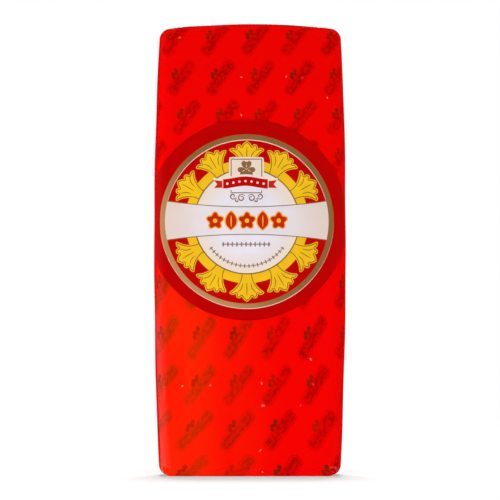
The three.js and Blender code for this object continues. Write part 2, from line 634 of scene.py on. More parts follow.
        # The painted light's strength low down on the left, from 0 to 1.
        thin = sheet.add("Math", leftness, lowness, operation="MULTIPLY")
        thin = sheet.add("Math", thin, streak, operation="MULTIPLY")
        colour = sheet.add("Mix", thin, srgb(self.pigment), srgb(self.pigment_lit), data_type="RGBA")

        # Painted glints: a few pale specks over the film.
        on_film = sheet.add("UVMap", uv_map="print")
        bend = sheet.add("TexNoise", on_film, named={"Scale": 9.0, "Detail": 1.0}, noise_dimensions="2D")
        bend = bend.node.outputs["Color"]
        bent = sheet.add("VectorMath", bend, (0.16, 0.05, 0.0), on_film, operation="MULTIPLY_ADD")
        glint_cells = sheet.add("TexVoronoi", bent, named={"Scale": 2.0}, voronoi_dimensions="2D")
        rare = sheet.add("MapRange", glint_cells.node.outputs["Color"], 0.22, 0.21, 0.0, 1.0)
        near = sheet.add("MapRange", glint_cells, 0.06, 0.03, 0.0, 0.85)
        glint_speck = sheet.add("Math", rare, near, operation="MULTIPLY")
        return sheet.add("Mix", glint_speck, colour, srgb(self.glint_speck), data_type="RGBA"), thin

    def make(self) -> bpy.types.Material:
        """Makes the material, which reads the motif's place from the UV map named print.

        Returns:
            The material.
        """
        material, sheet = new_material("printed_shrink_film")
        where = sheet.tree.nodes.new("ShaderNodeTexCoord").outputs["Object"]
        masks = self.motif(sheet)
        colour, thin = self.ground(sheet, where)

        # Ink density changes over the bag, from motif to motif, and in small patches within one.
        patch = sheet.add("TexNoise", where, named={"Scale": per_metre(3.0), "Detail": 2.0})
        patch = sheet.add("MapRange", patch, 0.35, 0.6, 0.7, 1.0)
        wide = sheet.add("TexNoise", where, named={"Scale": per_metre(20), "Detail": 2.0})
        wide = sheet.add("MapRange", wide, 0.3, 0.55, 0.6, 1.0)
        density = sheet.add("MapRange", masks["chance"], 0.0, 1.0, 0.8, 1.0)
        # Inks are painted paler where the lower left is painted lit.
        fading = sheet.add("MapRange", thin, 0.0, 1.0, 1.0, 0.7)
        density = sheet.add("Math", density, wide, operation="MULTIPLY")
        density = sheet.add("Math", density, fading, operation="MULTIPLY")
        for mask, ink, lit_ink, strength in (
            ("line", self.line_ink, self.ink_lit, 0.8),
            ("bar", self.bar_ink, self.ink_lit, 0.75),
            ("blots", self.blot_ink, self.ink_lit, 0.8),
            ("sprig", self.sprig_ink, self.sprig_lit, 1.0),
        ):
            cover = sheet.add("Math", masks[mask], density, operation="MULTIPLY")
            cover = sheet.add("Math", cover, strength, operation="MULTIPLY")
            if mask == "sprig":
                cover = sheet.add("Math", cover, patch, operation="MULTIPLY")
            # Painted light: each ink turns paler and more orange where the lower left is painted lit.
            ink = sheet.add("Mix", thin, srgb(ink), srgb(lit_ink), data_type="RGBA")
            colour = sheet.add("Mix", cover, colour, ink, data_type="RGBA")

        ripple = sheet.add("TexNoise", where, named={"Scale": per_metre(self.ripple_mm), "Detail": 2.0})
        swell = sheet.add("TexNoise", where, named={"Scale": per_metre(self.swell_mm), "Detail": 1.0})
        surface = sheet.add("Math", swell, self.swell_over_ripple, ripple, operation="MULTIPLY_ADD")
        bump = sheet.add("Bump", named={"Height": surface, "Distance": self.ripple_height, "Strength": 1.0})
        smooth = sheet.add("TexNoise", where, named={"Scale": per_metre(24), "Detail": 3.0})
        rough = sheet.add("MapRange", smooth, 0.3, 0.7, *self.roughness)
        sheet.add("OutputMaterial", sheet.add(
            "BsdfPrincipled",
            named={"Base Color": colour, "Roughness": rough, "IOR": self.ior, "Normal": bump},
        ))
        return material


@dataclass(frozen=True)
class PressedCheese:
    """Semi-hard cheese, pressed in a mould: close and pale yellow, with a smooth, faintly oily skin."""

    paste: str = "#EFCF7C"
    deeper: str = "#E2B658"
    curd_mm: float = 6.0
    pore_mm: float = 1.2

    def make(self) -> bpy.types.Material:
        """Makes the material.

        Returns:
            The material.
        """
        material, sheet = new_material("pressed_cheese")
        where = sheet.tree.nodes.new("ShaderNodeTexCoord").outputs["Object"]
        curd = sheet.add("TexNoise", where, named={"Scale": per_metre(self.curd_mm), "Detail": 4.0})
        curd = sheet.add("MapRange", curd, 0.35, 0.65, 0.0, 1.0)
        colour = sheet.add("Mix", curd, srgb(self.paste), srgb(self.deeper), data_type="RGBA")
        pore = sheet.add("TexVoronoi", where, named={"Scale": per_metre(self.pore_mm)})
        bump = sheet.add("Bump", named={"Height": pore, "Distance": 0.05 * MM, "Strength": 0.6})
        rough = sheet.add("MapRange", curd, 0.0, 1.0, 0.42, 0.58)
        sheet.add("OutputMaterial", sheet.add(
            "BsdfPrincipled",
            named={
                "Base Color": colour, "Roughness": rough, "IOR": 1.46, "Normal": bump,
                "Subsurface Weight": 0.25, "Subsurface Scale": 0.004,
            },
        ))
        return material


# ---------------------------------------------------------------------------------------------------
# Inks of the label


class Ink(Enum):
    """The label's printing inks, in the order of their material slots."""

    DARK_RED = 0
    RED = 1
    GOLD = 2
    WHITE = 3
    YELLOW = 4
    BROWN = 5
    BRICK = 6
    AMBER = 7
    BAND = 8
    GREY = 9


@dataclass(frozen=True)
class OffsetInk:
    """Offset ink on coated label paper under a water-based varnish.

    The varnish gives the flat print a satin sheen, and the paper's own cloudiness shows faintly in it.
    Paper fibres are about 0.05 mm wide, and are drawn wider here so that they show.
    The tint is a second colour that the ink turns to: towards the label's rim between two radii in mm,
    or along a slant where one is given. On the gold the tint is painted sheen, lighter towards the
    lower left; the white and the band turn beige towards the rim, and the dark red turns brighter red
    at its top rim.
    """

    name: str
    colour: str
    shade: str
    roughness: float = 0.5
    metallic: float = 0.0
    tint: str = ""
    tints_from: float = 0.0
    tints_to: float = 0.0
    tints_along: tuple[float, float, float] | None = None
    middle_mm: tuple[float, float] = (-2.1, 169.0)
    fibre_mm: float = 0.7
    cloud_mm: float = 14.0

    def tinting(self, sheet: NodeSheet, where: bpy.types.NodeSocket) -> bpy.types.NodeSocket:
        """How far the ink has turned to its tint.

        Args:
            sheet: The material's sheet.
            where: The point in the row frame.

        Returns:
            A mask from 0 to 1 for the tint.
        """
        x, z = self.middle_mm
        from_middle = sheet.add("VectorMath", where, (-x * MM, 0.0, -z * MM), operation="ADD")
        if self.tints_along:
            reach = sheet.add("VectorMath", from_middle, self.tints_along, operation="DOT_PRODUCT")
            reach = reach.node.outputs["Value"]
        else:
            flat = sheet.add("VectorMath", from_middle, (1.0, 0.0, 1.0), operation="MULTIPLY")
            reach = sheet.add("VectorMath", flat, operation="LENGTH")
        start, end = self.tints_from * MM, self.tints_to * MM
        return sheet.add("MapRange", reach, start, end, 0.0, 1.0, interpolation_type="SMOOTHSTEP")

    def make(self) -> bpy.types.Material:
        """Makes the material.

        Returns:
            The material.
        """
        material, sheet = new_material(self.name)
        where = sheet.tree.nodes.new("ShaderNodeTexCoord").outputs["Object"]
        cloud = sheet.add("TexNoise", where, named={"Scale": per_metre(self.cloud_mm), "Detail": 3.0})
        fibre = sheet.add("TexNoise", where, named={"Scale": per_metre(self.fibre_mm), "Detail": 2.0})
        mixed = sheet.add("Math", fibre, 0.35, cloud, operation="MULTIPLY_ADD")
        share = sheet.add("MapRange", mixed, 0.5, 0.85, 0.0, 1.0)
        colour = sheet.add("Mix", share, srgb(self.colour), srgb(self.shade), data_type="RGBA")
        if self.tint:
            colour = sheet.add("Mix", self.tinting(sheet, where), colour, srgb(self.tint), data_type="RGBA")
        rough = sheet.add("MapRange", fibre, 0.3, 0.7, self.roughness - 0.05, self.roughness + 0.06)
        bump = sheet.add("Bump", named={"Height": fibre, "Distance": 0.006 * MM, "Strength": 0.7})
        sheet.add("OutputMaterial", sheet.add(
            "BsdfPrincipled",
            named={
                "Base Color": colour, "Roughness": rough, "Metallic": self.metallic, "Normal": bump,
                "Specular IOR Level": 0.35,
            },
        ))
        return material


INK_FINISHES: dict[Ink, OffsetInk] = {
    Ink.DARK_RED: OffsetInk(
        "ink_dark_red", "#BE0000", "#B60000",
        tint="#E80100", tints_from=65.5, tints_to=69.5, tints_along=(0.0, 0.0, 1.0),
    ),
    Ink.RED: OffsetInk("ink_red", "#C10200", "#B80200"),
    # The gold is painted sheen: its tint lightens it towards the lower left, where light falls on it.
    Ink.GOLD: OffsetInk(
        "ink_gold_bronze", "#957342", "#8D6C3C", roughness=0.45, metallic=0.2,
        tint="#BE9864", tints_from=5, tints_to=45, tints_along=(-0.82, 0.0, -0.57),
    ),
    Ink.WHITE: OffsetInk("ink_white", "#ECE7F0", "#E6E2EB", tint="#EEDCCB", tints_from=18, tints_to=36),
    Ink.YELLOW: OffsetInk("ink_yellow", "#F5C51A", "#EDBC1F"),
    Ink.BROWN: OffsetInk("ink_brown", "#86622F", "#785527"),
    Ink.BRICK: OffsetInk("ink_brick_red", "#CB2B09", "#BE2407"),
    Ink.AMBER: OffsetInk("ink_amber", "#F8BC3C", "#EFB034"),
    Ink.BAND: OffsetInk("ink_warm_white", "#EAE4EB", "#E4DEE5", tint="#E6D3C8", tints_from=20, tints_to=55),
    Ink.GREY: OffsetInk("ink_grey_brown", "#9A8578", "#8D786B"),
}


# ---------------------------------------------------------------------------------------------------
# Outlines of the label's art. They are in millimetres from the middle of the label, +Y up.


def circle(radius: float, x: float = 0.0, y: float = 0.0, sides: int = 144) -> Points:
    """A circle about a point."""
    turn = np.linspace(0, 2 * math.pi, sides, endpoint=False)
    return np.stack([x + radius * np.cos(turn), y + radius * np.sin(turn)], axis=1)


def arc(radius: float, start: float, end: float, steps: int) -> Points:
    """Points along an arc about the middle, between two angles in degrees."""
    turn = np.radians(np.linspace(start, end, steps))
    return np.stack([radius * np.cos(turn), radius * np.sin(turn)], axis=1)


def smooth(knots: list[tuple[float, float]], steps: int = 5, closed: bool = False) -> Points:
    """A Catmull-Rom curve through a few knots.

    Args:
        knots: The knots.
        steps: How many points each stretch between two knots has.
        closed: Whether the curve runs back to its first knot.

    Returns:
        The curve's points.
    """
    given = np.array(knots, float)
    ends = (given[-1:], given[:2]) if closed else (given[:1], given[-1:])
    padded = np.concatenate([ends[0], given, ends[1]])
    share = np.linspace(0, 1, steps, endpoint=False)[:, None]
    curve = []
    for before, here, there, after in zip(padded, padded[1:], padded[2:], padded[3:]):
        curve.append(0.5 * (
            2 * here + (there - before) * share
            + (2 * before - 5 * here + 4 * there - after) * share**2
            + (3 * here - before - 3 * there + after) * share**3
        ))
    if not closed:
        curve.append(given[-1:])
    return np.concatenate(curve)


def mirrored(half: Points) -> Points:
    """Closes a half-outline with its mirror image.

    Args:
        half: The right half, drawn from bottom to top.

    Returns:
        The whole outline.
    """
    left = half[::-1] * (-1, 1)
    keep = np.abs(left[:, 0]) > 1e-6
    return np.concatenate([half, left[keep]])


def grown(outline: Points, by: float) -> Points:
    """Moves an outline outwards, or inwards where by is negative.

    Args:
        outline: The outline, counter-clockwise.
        by: How far it moves.

    Returns:
        The moved outline.
    """
    before, after = np.roll(outline, 1, axis=0), np.roll(outline, -1, axis=0)
    run = after - before
    normal = np.stack([run[:, 1], -run[:, 0]], axis=1)
    length = np.maximum(np.linalg.norm(normal, axis=1, keepdims=True), 1e-9)
    return outline + by * normal / length


def stroke(line: Points, width: float) -> Points:
    """Draws a line with a pen, thinner towards both ends.

    Args:
        line: The line's points.
        width: The pen's width.

    Returns:
        The outline of the stroke.
    """
    run = np.gradient(line, axis=0)
    normal = np.stack([-run[:, 1], run[:, 0]], axis=1)
    normal /= np.maximum(np.linalg.norm(normal, axis=1, keepdims=True), 1e-9)
    share = np.linspace(0, 1, len(line))
    half = width / 2 * (0.45 + 0.55 * np.sin(math.pi * share))
    side = normal * half[:, None]
    return np.concatenate([line - side, (line + side)[::-1]])


def turned(outline: Points, degrees: float) -> Points:
    """Turns an outline about the middle of the label.

    Args:
        outline: The outline.
        degrees: How far it turns, counter-clockwise.

    Returns:
        The turned outline.
    """
    angle = math.radians(degrees)
    cos, sin = math.cos(angle), math.sin(angle)
    return outline @ np.array([[cos, sin], [-sin, cos]])


@dataclass
class LabelArt:
    """The label's print, as outlines laid one on another, the last on top.

    It follows the usual round cheese label: a gold ring, a garland of yellow tulips round a white
    disc, a white band across, a small plate above it and rows of plain ornaments. The print sits a
    little low on the paper, by print_low.
    """

    radius: float = 66.7
    print_low: float = 1.1
    ring_outer: float = 57.6
    ring_inner: float = 54.2
    misregister: float = 0.42
    disc_radius: float = 34.4
    annulus_radius: float = 41.0
    line: float = 0.8
    fine_line: float = 0.52
    band_middle: float = 0.5
    band_half: float = 9.1
    band_flare: float = 3.8
    tulips: int = 12

    def __post_init__(self) -> None:
        """Draws everything, from the paper up."""
        self.layers: list[tuple[Ink, Points]] = []
        self.lay(Ink.DARK_RED, circle(self.radius, y=self.print_low, sides=240))
        self.draw_ground()
        self.draw_garland()
        self.draw_disc()
        self.draw_plate()
        self.draw_band()
        self.draw_small_rows()
        self.layers = [(ink, outline - (0.0, self.print_low)) for ink, outline in self.layers]

    def lay(self, ink: Ink, outline: Points) -> None:
        """Lays one outline on those before it, counter-clockwise.

        Args:
            ink: The ink that fills it.
            outline: The outline, either way round.
        """
        ahead = np.roll(outline, -1, axis=0)
        area = np.sum(outline[:, 0] * ahead[:, 1] - ahead[:, 0] * outline[:, 1])
        self.layers.append((ink, outline if area > 0 else outline[::-1]))

    def lay_outlined(self, fill: Ink, line: Ink, outline: Points, width: float) -> None:
        """Lays a shape with a line round its outside."""
        self.lay(line, grown(outline, width))
        self.lay(fill, outline)

    def draw_ground(self) -> None:
        """The gold ring, and the white under it that printed a little too low."""
        low = -self.misregister
        self.lay(Ink.WHITE, circle(self.ring_outer, y=low, sides=200))
        self.lay(Ink.GOLD, circle(self.ring_outer, sides=200))
        self.lay(Ink.WHITE, circle(self.ring_inner, sides=200))
        self.lay(Ink.RED, circle(self.ring_inner - 0.1, y=low, sides=200))

    def draw_garland(self) -> None:
        """The yellow ring and the tulips that grow out of it."""
        self.lay(Ink.YELLOW, circle(self.annulus_radius))
        outline = mirrored(smooth([
            (3.4, 33.6), (3.9, 37.5), (5.5, 41.5), (8.2, 44.8), (11.2, 47.2), (9.0, 48.3),
            (7.0, 47.6), (6.7, 49.9), (4.9, 50.7), (3.4, 49.3), (2.4, 51.0), (0.0, 53.0),
        ], 4))
        vein = smooth([(0.0, 40.5), (0.0, 44.5), (0.0, 49.2)])
        side_vein = smooth([(2.6, 41.0), (3.6, 44.5), (6.0, 47.2)])
        for k in range(self.tulips):
            angle = 360 / self.tulips * k
            self.lay(Ink.YELLOW, turned(grown(outline, 0.35), angle))
            self.lay(Ink.BROWN, turned(grown(outline, -0.2), angle))
            self.lay(Ink.YELLOW, turned(grown(outline, -0.2 - self.fine_line), angle))
            for line in (vein, side_vein, side_vein * (-1, 1)):
                self.lay(Ink.BROWN, turned(stroke(line, self.fine_line), angle))

    def draw_disc(self) -> None:
        """The white disc in the middle, with its brown line."""
        self.lay_outlined(Ink.WHITE, Ink.BROWN, circle(self.disc_radius), self.line)

    def draw_plate(self) -> None:
        """The framed plate with a clover leaf, the scrolls under it and the ribbon across it."""
        left, right, low, high = -10.4, 9.9, 18.9, 41.2
        corners = np.array([(left, low), (right, low), (right, high), (left, high)])
        sides = zip(corners, np.roll(corners, -1, 0))
        frame_line = np.concatenate([np.linspace(start, end, 24, endpoint=False) for start, end in sides])
        middle = (left + right) / 2
        self.lay(Ink.WHITE, grown(frame_line, 1.4))
        self.lay(Ink.BROWN, grown(frame_line, 0.3))
        self.lay(Ink.WHITE, grown(frame_line, -0.3))
        self.draw_clover(middle, 34.5)
        self.draw_scrolls(middle, low)
        self.draw_ribbon(-0.9, 25.7)

    def draw_clover(self, x: float, y: float) -> None:
        """A gold clover leaf with its stalk.

        Args:
            x: Where its middle lies, to the right.
            y: Where its middle lies, up.
        """
        stalk = smooth([(x, y - 0.5), (x + 0.4, y - 3.2), (x + 2.0, y - 5.0)])
        self.lay(Ink.GOLD, stroke(stalk, 1.5))
        leaf = mirrored(smooth([(0.0, 0.2), (2.3, 1.6), (3.4, 4.0), (1.9, 5.6), (0.0, 4.6)], 5))
        vein = stroke(np.array([(0.0, 1.2), (0.0, 2.2), (0.0, 3.2)]), 0.5)
        for degrees in (0, 118, 242):
            self.lay(Ink.GOLD, turned(leaf, degrees) + (x, y))
            self.lay(Ink.WHITE, turned(vein, degrees) + (x, y))

    def draw_ribbon(self, x: float, y: float) -> None:
        """A plain red ribbon with swallow tails and a row of pearls.

        Args:
            x: Where its middle lies, to the right.
            y: Where its middle lies, up.
        """
        def height(t: float | np.ndarray) -> float | np.ndarray:
            """The height of the ribbon's middle line at a distance from its middle."""
            return y + 0.9 * np.cos(math.pi * t / 15)

        span = np.linspace(-14.8, 14.8, 25)
        lower = np.stack([x + span, height(span) - 3.1], axis=1)
        upper = np.stack([x + span, height(span) + 3.1], axis=1)
        body = np.concatenate([lower, upper[::-1]])
        inner = 13.8
        tip = np.array([
            (inner, height(inner) - 2.6), (20.9, y - 3.6), (18.7, y - 1.2), (20.9, y + 1.6),
            (inner, height(inner) + 1.6),
        ])
        tails = [tip + (x, 0), (tip * (-1, 1))[::-1] + (x, 0)]
        for outline, border in ((tails[0], 1.6), (tails[1], 1.6), (body, 1.5)):
            self.lay(Ink.WHITE, grown(outline, border))
        for tail in tails:
            self.lay(Ink.BRICK, tail)
        self.lay(Ink.WHITE, grown(body, 0.45))
        self.lay(Ink.RED, body)
        for t in np.linspace(-12.0, 12.0, 7):
            self.lay(Ink.WHITE, circle(0.8, x + t, float(height(t)), 16))

    def draw_scrolls(self, x: float, y: float) -> None:
        """Mirrored scrolls that hang from the plate, three on each side.

        Args:
            x: Where their middle lies, to the right.
            y: The height of the plate's lower edge.
        """
        for centre, wide, thin, start, sweep in (
            ((3.3, -3.4), 2.5, 0.8, 150, -460),
            ((9.0, -2.3), 2.1, 0.7, 200, 400),
            ((6.2, -5.0), 1.2, 0.5, 80, -300),
        ):
            turn = np.radians(np.linspace(start, start + sweep, 34))
            reach = np.linspace(wide, thin, 34)
            spiral = np.stack([centre[0] + reach * np.cos(turn), centre[1] + reach * np.sin(turn)], axis=1)
            for side in (-1, 1):
                self.lay(Ink.BROWN, stroke(spiral, 0.85) * (side, 1) + (x, y))

    def band_edge(self, x: np.ndarray, side: int) -> Points:
        """Points of the band's upper (side 1) or lower (side -1) edge."""
        rise = self.band_middle + side * (self.band_half + self.band_flare * (x / 52.5) ** 2)
        return np.stack([x, rise], axis=1)

    def draw_band(self) -> None:
        """The white band from ring to ring, with five plain ornaments on it."""
        x = np.linspace(-52.5, 52.5, 60)
        lower, upper = self.band_edge(x, -1), self.band_edge(x, 1)[::-1]
        start, end = (math.degrees(math.atan2(y, 52.5)) for y in (lower[-1, 1], upper[0, 1]))
        right = arc(self.ring_inner, start, end, 20)
        left = arc(self.ring_inner, 180 - end, 180 - start, 20)
        self.lay(Ink.BAND, np.concatenate([lower[1:-1], right, upper[1:-1], left]))
        for edge in (upper, lower):
            half = (0, self.fine_line / 2)
            self.lay(Ink.BROWN, np.concatenate([edge + half, (edge - half)[::-1]]))
        turn = np.linspace(0, 2 * math.pi, 72, endpoint=False)
        reach = 4.6 + 0.95 * np.cos(5 * (turn - math.pi / 2))
        daisy = np.stack([reach * np.cos(turn), reach * np.sin(turn)], axis=1)
        leaf = mirrored(smooth([(0.0, -5.9), (2.9, -3.0), (3.6, 0.4), (2.2, 3.9), (0.0, 6.2)], 5))
        vein = stroke(np.array([(0.0, -4.0), (0.0, 0.0), (0.0, 3.4)]), 0.9)
        heart = circle(1.5, sides=20)
        flower_and_heart, leaf_and_vein = (daisy, heart), (leaf, vein)
        pattern = (flower_and_heart, leaf_and_vein) * 2 + (flower_and_heart,)
        for x_at, (shape, inset) in zip((-21.0, -10.4, 0.1, 10.6, 21.2), pattern):
            self.lay_outlined(Ink.BRICK, Ink.AMBER, shape + (x_at, 0.4), 0.8)
            self.lay(Ink.AMBER, inset + (x_at, 0.4))

    def draw_small_rows(self) -> None:
        """A straight row of lozenges and dots under the band, and a curved one along the disc."""
        lozenge = np.array([(0.0, -1.9), (1.0, 0.0), (0.0, 1.9), (-1.0, 0.0)])
        for index, x in enumerate(np.linspace(-15.6, 14.6, 21)):
            shape = circle(0.5, sides=12) if index % 2 else lozenge
            self.lay(Ink.GREY, shape + (x, -15.2))
        for index, angle in enumerate(np.linspace(-143, -37, 39)):
            shape = circle(0.45, sides=12) if index % 2 else lozenge * (0.85, 0.85)
            self.lay(Ink.GREY, turned(shape + (0.0, -29.6), angle + 90))


# ---------------------------------------------------------------------------------------------------
# Pieces


def make_piece(name: str, points: Points, faces: list, smooth_faces: bool = True) -> bpy.types.Object:
    """Makes a mesh object and links it to the scene.

    Args:
        name: The piece's name.
        points: Its vertices in the row frame.
        faces: Vertex numbers of each face, counter-clockwise from outside.
        smooth_faces: Whether it is shaded smooth.

    Returns:
        The new object.
    """
    mesh = bpy.data.meshes.new(name)
    mesh.from_pydata(points.tolist(), [], faces)
    if smooth_faces:
        mesh.shade_smooth()
    made = bpy.data.objects.new(name, mesh)
    bpy.context.scene.collection.objects.link(made)
    return made


def set_uv(made: bpy.types.Object, name: str, corners: np.ndarray) -> None:
    """Adds a UV map, with one pair for each face corner."""
    layer = made.data.uv_layers.new(name=name)
    layer.uv.foreach_set("vector", corners.astype(np.float32).ravel())


def adopt(made: bpy.types.Object, node: str) -> None:
    """Puts a piece in its CAD node's place and reports it.

    Args:
        made: The piece.
        node: The CAD node that it stands for.
    """
    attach(made, "root")
    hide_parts(node)
    log.info("%s: %d faces, for %s", made.name, len(made.data.polygons), node)


@dataclass
class CheeseBlock:
    """The cheese itself, which fills the bag."""

    form: BlockForm
    finish: PressedCheese
    steps: tuple[int, int, int] = (24, 18, 52)
    edge_steps: int = 4

    def build(self) -> bpy.types.Object:
        """Builds and dresses the cheese.

        Returns:
            The piece.
        """
        grid = BrickGrid.over(self.form, self.steps, self.edge_steps)
        inset = self.form.bulge(grid.plain - self.form.skin * grid.normal)
        made = make_piece("pressed_cheese", inset, grid.quads.tolist())
        made.data.materials.append(self.finish.make())
        adopt(made, "cheese_block")
        return made


@dataclass
class ShrinkBag:
    """The bag: an outer and an inner surface a film's thickness apart, with the print's map on it."""

    form: BlockForm
    relief: FilmRelief
    lattice: PrintLattice
    steps: tuple[int, int, int] = (60, 48, 140)
    edge_steps: int = 9
    inner_steps: tuple[int, int, int] = (12, 10, 26)
    inner_edge_steps: int = 3
    thickness: float = 0.4 * MM

    def film_coordinates(self, grid: BrickGrid) -> np.ndarray:
        """The print's column and row at each face corner.

        The front and back panels run on over the ends up to the tail's line, and the side panels end
        at the ends' edges, where they are folded in.

        Args:
            grid: The grid over the bag's outside.

        Returns:
            Column and row, for each corner of each face.
        """
        form, radius = self.form, self.form.edge_radius
        flat_x, flat_y, flat_z = form.flat
        plain, normal = grid.plain[grid.quads], grid.normal[grid.quads]
        panel = grid.panel[:, None]
        on_end = (panel == Panel.TOP) | (panel == Panel.BASE)
        side = np.where(plain[:, :, 0].mean(axis=1) < 0, -1.0, 1.0)[:, None]
        x, y, z = np.moveaxis(plain, -1, 0)
        near_x = np.clip(np.abs(x), 0, flat_x)
        near_y = np.clip(y, -flat_y, flat_y)
        near_z = np.clip(z - form.height / 2, -flat_z, flat_z)
        nx, ny, nz = np.abs(normal[..., 0]), normal[..., 1], normal[..., 2]

        straight = np.where(
            panel == Panel.FRONT, near_x,
            np.where(panel == Panel.BACK, 2 * (flat_x + flat_y) - near_x, flat_x + flat_y + near_y),
        )
        along_wall = straight + radius * np.arctan2(nx, -ny)
        up_wall = near_z + form.height / 2 + radius * np.arcsin(np.clip(nz, -1, 1)) - form.fall(x, y, z)

        over = flat_y + near_y + radius * np.arctan2(ny, np.abs(nz))
        on_front = over < flat_y + self.relief.tail_y
        half_round = self.lattice.round_length / 2
        across = near_x + radius * np.arctan2(nx, np.abs(nz))
        along_end = np.where(on_front, across, half_round - across)
        over = np.where(on_front, over, 2 * flat_y - over)
        beyond = flat_z + radius * math.pi / 2 + over - form.fall(x, form.depth / 2, z)
        up_end = form.height / 2 + np.where(panel == Panel.TOP, beyond, -beyond)

        along = side * np.where(on_end, along_end, along_wall)
        up = np.where(on_end, up_end, up_wall)
        return self.lattice.place(along * form.girth_share(z), up, along / (2 * half_round))

    def bake_map(self, grid: BrickGrid) -> np.ndarray:
        """Lays the six panels side by side in the unit square, without overlap.

        Args:
            grid: The grid over the bag.

        Returns:
            A place in the square, for each corner of each face.
        """
        form = self.form
        plain = grid.plain[grid.quads]
        reach = form.half * 2 + 6 * MM
        span = 2 * (reach[0] + reach[1])
        offsets = {
            Panel.FRONT: (0, 0, 2, 1.0, 0.0),
            Panel.RIGHT: (1, 0, 2, 1.0, reach[0]),
            Panel.BACK: (0, 0, 2, -1.0, reach[0] + reach[1]),
            Panel.LEFT: (1, 0, 2, -1.0, 2 * reach[0] + reach[1]),
            Panel.TOP: (0, 1, 1, 1.0, 0.0),
            Panel.BASE: (0, 1, 1, -1.0, reach[0]),
        }
        uv = np.zeros((len(grid.quads), 4, 2))
        for panel, (first, row, second, sense, start) in offsets.items():
            rows = grid.panel == int(panel)
            across = sense * plain[rows][..., first] + reach[first] / 2
            base = 0.0 if second == 2 else reach[1] / 2
            up = plain[rows][..., second] + base + row * reach[2]
            uv[rows] = np.stack([start + across, up + 3 * MM], axis=-1)
        return uv / span

    def build(self, film: bpy.types.Material) -> bpy.types.Object:
        """Builds and dresses the bag.

        Args:
            film: The film's material.

        Returns:
            The piece.
        """
        outer = BrickGrid.over(self.form, self.steps, self.edge_steps)
        inner = BrickGrid.over(self.form, self.inner_steps, self.inner_edge_steps)
        lift = self.relief.height(outer.plain, outer.normal)
        outside = self.form.bulge(outer.plain + lift[:, None] * outer.normal)
        inside = self.form.bulge(inner.plain - self.thickness * inner.normal)
        faces = outer.quads.tolist() + (inner.quads[:, ::-1] + len(outside)).tolist()
        made = make_piece("shrink_bag", np.concatenate([outside, inside]), faces)
        unseen = np.full((len(inner.quads), 4, 2), 0.02)
        set_uv(made, "print", np.concatenate([self.film_coordinates(outer), unseen]))
        corner = 0.97 + 0.02 * self.bake_map(inner)
        set_uv(made, "OFBake", np.concatenate([self.bake_map(outer), corner]))
        made.data.materials.append(film)
        adopt(made, "shrink_film")
        return made


@dataclass
class BagTail:
    """The bag's welded tail: two plies, gathered where they leave the end and folded back flat."""

    form: BlockForm
    relief: FilmRelief
    lattice: PrintLattice
    length: float = 13 * MM
    thickness: float = 0.24 * MM
    clearance: float = 0.1 * MM
    sunk: float = 0.2 * MM
    fold_radius: float = 0.22 * MM
    gather_height: float = 0.06 * MM
    crimp_height: float = 0.1 * MM
    curl_height: float = 0.32 * MM
    weld_start: float = 4.6 * MM
    weld_width: float = 4.2 * MM
    weld_pitch: float = 0.9 * MM
    steps_along: int = 192
    steps_out: int = 56

    def lift(self, along: np.ndarray, out: np.ndarray) -> np.ndarray:
        """How high the tail lies over the end: its fold, gathers, crimped weld and curled rim.

        Args:
            along: Place along the tail, from -1 to 1.
            out: Distance from the fold.

        Returns:
            The height at each.
        """
        gather = (1 - fade(out, 1.5 * MM, 9 * MM)) * ridge(along * 15 + 0.5 * np.sin(along * 7), 1.5)
        arch = self.fold_radius * np.exp(-(((out - 0.6 * MM) / (0.9 * MM)) ** 2))
        weld_end = self.weld_start + self.weld_width
        in_weld = fade(out, self.weld_start - 0.4 * MM, self.weld_start)
        in_weld *= 1 - fade(out, weld_end, weld_end + 0.4 * MM)
        crimp = self.crimp_height * in_weld * ridge(out / self.weld_pitch, 1.0)
        curl = self.curl_height * fade(out, 8 * MM, 13 * MM) * (0.55 + 0.45 * np.sin(along * 5.2 + 0.7))
        return self.clearance + arch + self.gather_height * gather + crimp + curl

    def faces(self) -> np.ndarray:
        """Quads over the upper side, the lower side and the rim between them.

        Returns:
            Vertex numbers of each face.
        """
        columns, rows = self.steps_along + 1, self.steps_out + 1
        grid = np.arange(columns * rows).reshape(columns, rows)
        upper = np.stack([grid[:-1, :-1], grid[1:, :-1], grid[1:, 1:], grid[:-1, 1:]], axis=-1)
        upper = upper.reshape(-1, 4)
        lower = upper[:, ::-1] + grid.size
        rim = np.concatenate([grid[:, 0], grid[-1, 1:], grid[-2::-1, -1], grid[0, -2:0:-1]])
        ahead = np.roll(rim, -1)
        walls = np.stack([rim, rim + grid.size, ahead + grid.size, ahead], axis=1)
        return np.concatenate([upper, lower, walls])

    def build(self, film: bpy.types.Material) -> bpy.types.Object:
        """Builds and dresses the tail.

        Args:
            film: The film's material.

        Returns:
            The piece.
        """
        t = np.linspace(-1, 1, self.steps_along + 1)
        s = np.linspace(0, 1, self.steps_out + 1)
        along, out = np.meshgrid(t, s * self.length, indexing="ij")
        pull = 1 - 0.035 * np.sin(math.pi * out / self.length)
        ragged = 0.35 * MM * np.sin(along * 31) + 0.25 * MM * np.sin(along * 67 + 1)
        x = self.relief.tail_half * along * pull
        y = self.relief.tail_y + out * (1 + ragged / self.length)
        flat = np.stack([x.ravel(), y.ravel(), np.full(x.size, self.form.height)], axis=1)
        ground = self.form.bulge(flat)
        ground[:, 2] += self.relief.waves(flat)
        lift = self.lift(along, out).ravel()
        upright = np.array([0.0, 0.0, 1.0])
        top = ground + upright * (lift + self.thickness)[:, None]
        under = ground + upright * (lift - self.sunk)[:, None]
        faces = self.faces()
        made = make_piece("bag_tail", np.concatenate([top, under]), faces.tolist())
        up = self.form.height + self.form.depth / 2 + out.ravel()
        turn = x.ravel() / self.lattice.round_length
        print_uv = np.tile(self.lattice.place(x.ravel(), up, turn), (2, 1))
        set_uv(made, "print", print_uv[faces.ravel()])
        made.data.materials.append(film)
        adopt(made, "shrink_film")
        return made


